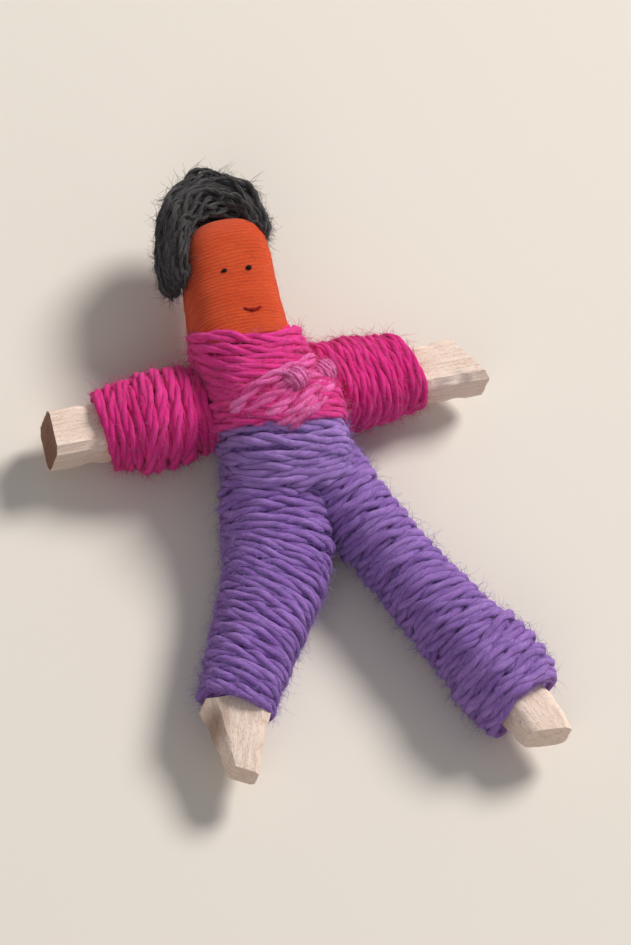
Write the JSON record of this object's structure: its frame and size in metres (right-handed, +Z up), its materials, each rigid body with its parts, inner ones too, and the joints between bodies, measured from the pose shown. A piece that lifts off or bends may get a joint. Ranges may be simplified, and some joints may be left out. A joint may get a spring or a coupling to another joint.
{
  "type": "thread-wound stick doll",
  "caption": "Tiny lying stick doll wound in coloured thread, with bare stick hands and feet, a wrapped head with a small face, and thick woollen hair.",
  "frame": {"origin": "on the surface that the doll lies on, at the flat under the shirt where the two sticks cross", "axes": "+Z up out of the face and away from the surface, +Y towards the head, +X towards the hand with the slanted end"},
  "size_m": [0.0174, 0.0244, 0.0052],
  "materials": {
    "wood": "bare split wood, pale pinkish",
    "string": "plain thin string",
    "shirt_thread": "matte magenta thread",
    "trouser_thread": "matte purple thread",
    "face_thread": "matte terracotta thread, finely wound",
    "hair_yarn": "matte charcoal wool"
  },
  "bodies": {
    "root": {"arm_stick": "wood", "spine_stick": "wood", "left_leg_stick": "wood", "right_leg_stick": "wood", "chest_lashing": "string", "hip_lashing": "string", "left_sleeve_core": "shirt_thread", "left_sleeve_winding": "shirt_thread", "right_sleeve_core": "shirt_thread", "right_sleeve_winding": "shirt_thread", "shirt_core": "shirt_thread", "shirt_winding": "shirt_thread", "hip_core": "trouser_thread", "hip_winding": "trouser_thread", "left_leg_core": "trouser_thread", "left_leg_winding": "trouser_thread", "right_leg_core": "trouser_thread", "right_leg_winding": "trouser_thread", "face_wrap": "face_thread", "inner_hair_strand_1": "hair_yarn", "inner_hair_strand_2": "hair_yarn", "inner_hair_strand_3": "hair_yarn", "outer_hair_strand_1": "hair_yarn", "outer_hair_strand_2": "hair_yarn"}
  },
  "joints": []
}
